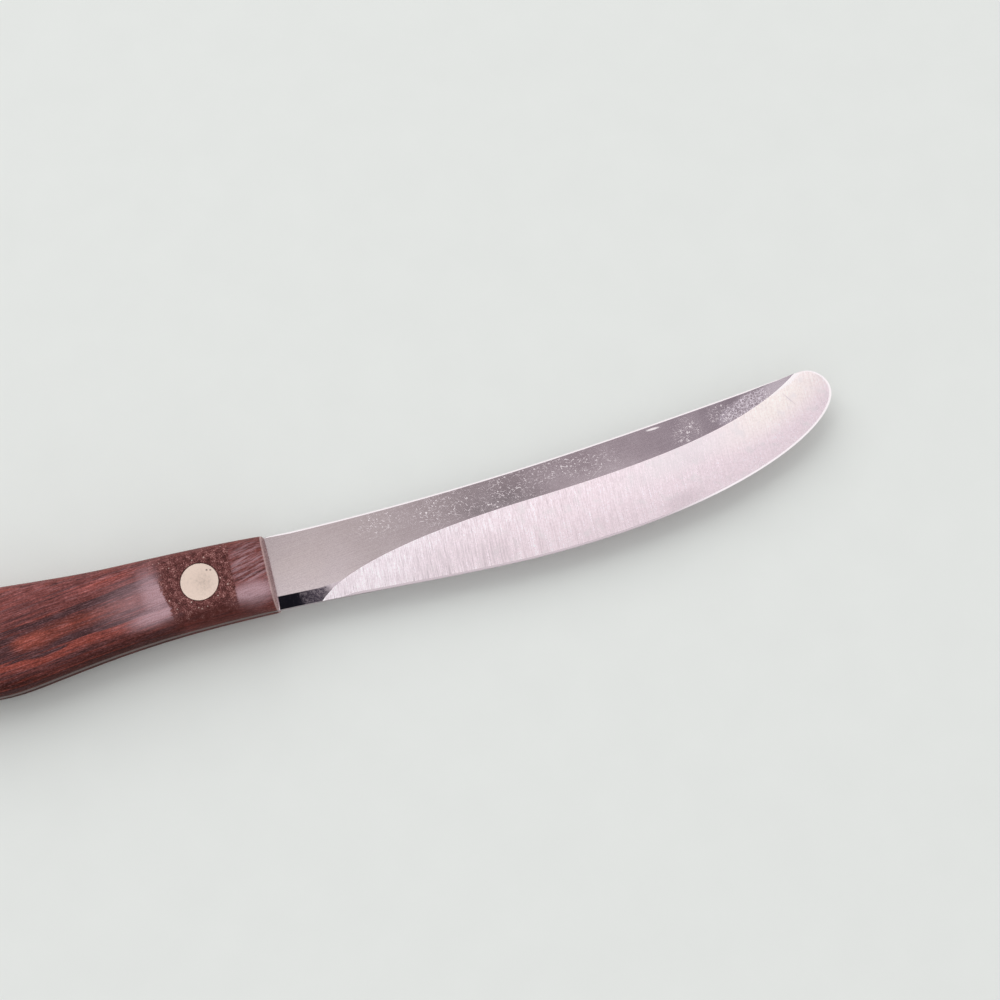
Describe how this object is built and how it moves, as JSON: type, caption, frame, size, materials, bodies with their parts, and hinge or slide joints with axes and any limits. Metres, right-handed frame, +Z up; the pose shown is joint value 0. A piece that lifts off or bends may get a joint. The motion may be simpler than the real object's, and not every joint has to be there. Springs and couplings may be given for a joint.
{
  "type": "steak knife",
  "caption": "Steak knife: upswept hollow-ground blade with a plain edge and rounded tip, its full tang held between rounded hardwood scales by flush cutler's rivets.",
  "frame": {"origin": "under the middle of the knife's box, on the surface that the knife lies on", "axes": "+X along the knife towards the tip, +Y across it towards the spine, +Z up through its thickness"},
  "size_m": [0.241, 0.0272, 0.0128],
  "materials": {
    "blade_steel": "polished flats with light scratches, satin hollow grind brushed across the blade",
    "rosewood": "dark red streaked wood under clear lacquer, bare and matte round the rivets",
    "rivet_nickel": "ground flush, fine satin"
  },
  "bodies": {
    "root": {"blade": "blade_steel", "front_scale": "rosewood", "back_scale": "rosewood", "front_rivet_pin": "rivet_nickel", "front_rivet_tube": "rivet_nickel", "rear_rivet_pin": "rivet_nickel", "rear_rivet_tube": "rivet_nickel"}
  },
  "joints": []
}
